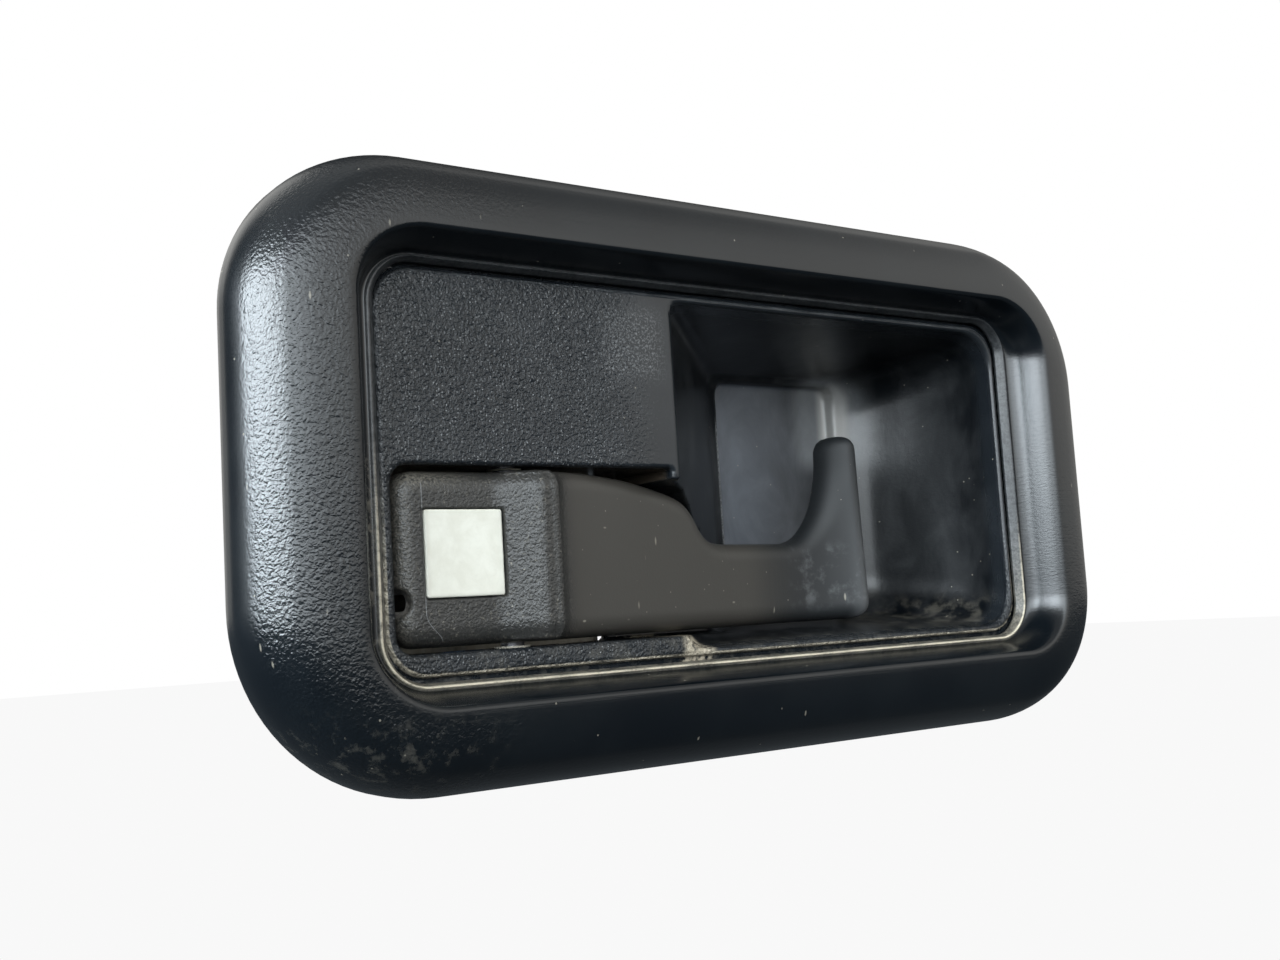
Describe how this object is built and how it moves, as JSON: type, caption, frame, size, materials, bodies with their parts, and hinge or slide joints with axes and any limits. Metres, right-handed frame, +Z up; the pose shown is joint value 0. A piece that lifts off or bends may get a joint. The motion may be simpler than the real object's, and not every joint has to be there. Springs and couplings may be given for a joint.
{
  "type": "car door handle",
  "caption": "Inside car door handle: moulded finger bowl with a hinged pull lever, framed by a clip-on trim bezel.",
  "frame": {"origin": "centre of the bezel's back rim, in the plane where it meets the door trim", "axes": "+X along the handle to the user's right, +Y into the door, +Z up"},
  "size_m": [0.1886, 0.0456, 0.1028],
  "materials": {
    "bezel_plastic": "black, moulded leather grain, worn at the lip",
    "bowl_plastic": "black, fine grain on the panel, smooth in the cup, dusty",
    "lever_plastic": "black brown, grained at the pivot, rubbed smooth along the arm",
    "tile_plastic": "off-white",
    "plated_steel": "zinc plated",
    "spring_steel": "oiled black",
    "bush_plastic": "natural acetal",
    "clip_plastic": "blue nylon",
    "buffer_rubber": "black",
    "seal_foam": "closed-cell foam"
  },
  "bodies": {
    "housing": {"bowl": "bowl_plastic", "bezel": "bezel_plastic", "foam_seal": "seal_foam", "bezel_clip_1": "spring_steel", "bezel_clip_2": "spring_steel", "bezel_clip_3": "spring_steel", "bezel_clip_4": "spring_steel", "fixing_screw_1": "plated_steel", "fixing_screw_2": "plated_steel", "fixing_screw_3": "plated_steel", "fixing_screw_4": "plated_steel", "pivot_bracket": "plated_steel", "bracket_screw_1": "plated_steel", "bracket_screw_2": "plated_steel", "bracket_screw_3": "plated_steel", "pivot_pin": "plated_steel", "bush_upper": "bush_plastic", "bush_lower": "bush_plastic", "circlip": "spring_steel", "return_spring": "spring_steel", "rest_buffer": "buffer_rubber", "open_buffer": "buffer_rubber"},
    "pull_lever": {"lever": "lever_plastic", "marker_tile": "tile_plastic", "crank_arm": "plated_steel", "crank_screw_1": "plated_steel", "crank_screw_2": "plated_steel"},
    "rod_swivel": {"rod_clip": "clip_plastic"}
  },
  "joints": [
    {"name": "lever_pull", "type": "hinge", "parent": "housing", "child": "pull_lever", "pos_m": [-0.0465, -0.0015, 0], "axis": [0, 0, -1], "range_deg": [0, 28], "stiffness_Nm_per_rad": 0.35, "springref_deg": -20.05, "deforming": ["return_spring"]},
    {"name": "rod_clip_swivel", "type": "hinge", "parent": "pull_lever", "child": "rod_swivel", "pos_m": [-0.0465, 0.0215, 0], "axis": [0, 0, -1], "range_deg": [-28, 0]}
  ],
  "couplings": [
    {"joint": "rod_clip_swivel", "follows": "lever_pull", "ratio": -1}
  ]
}
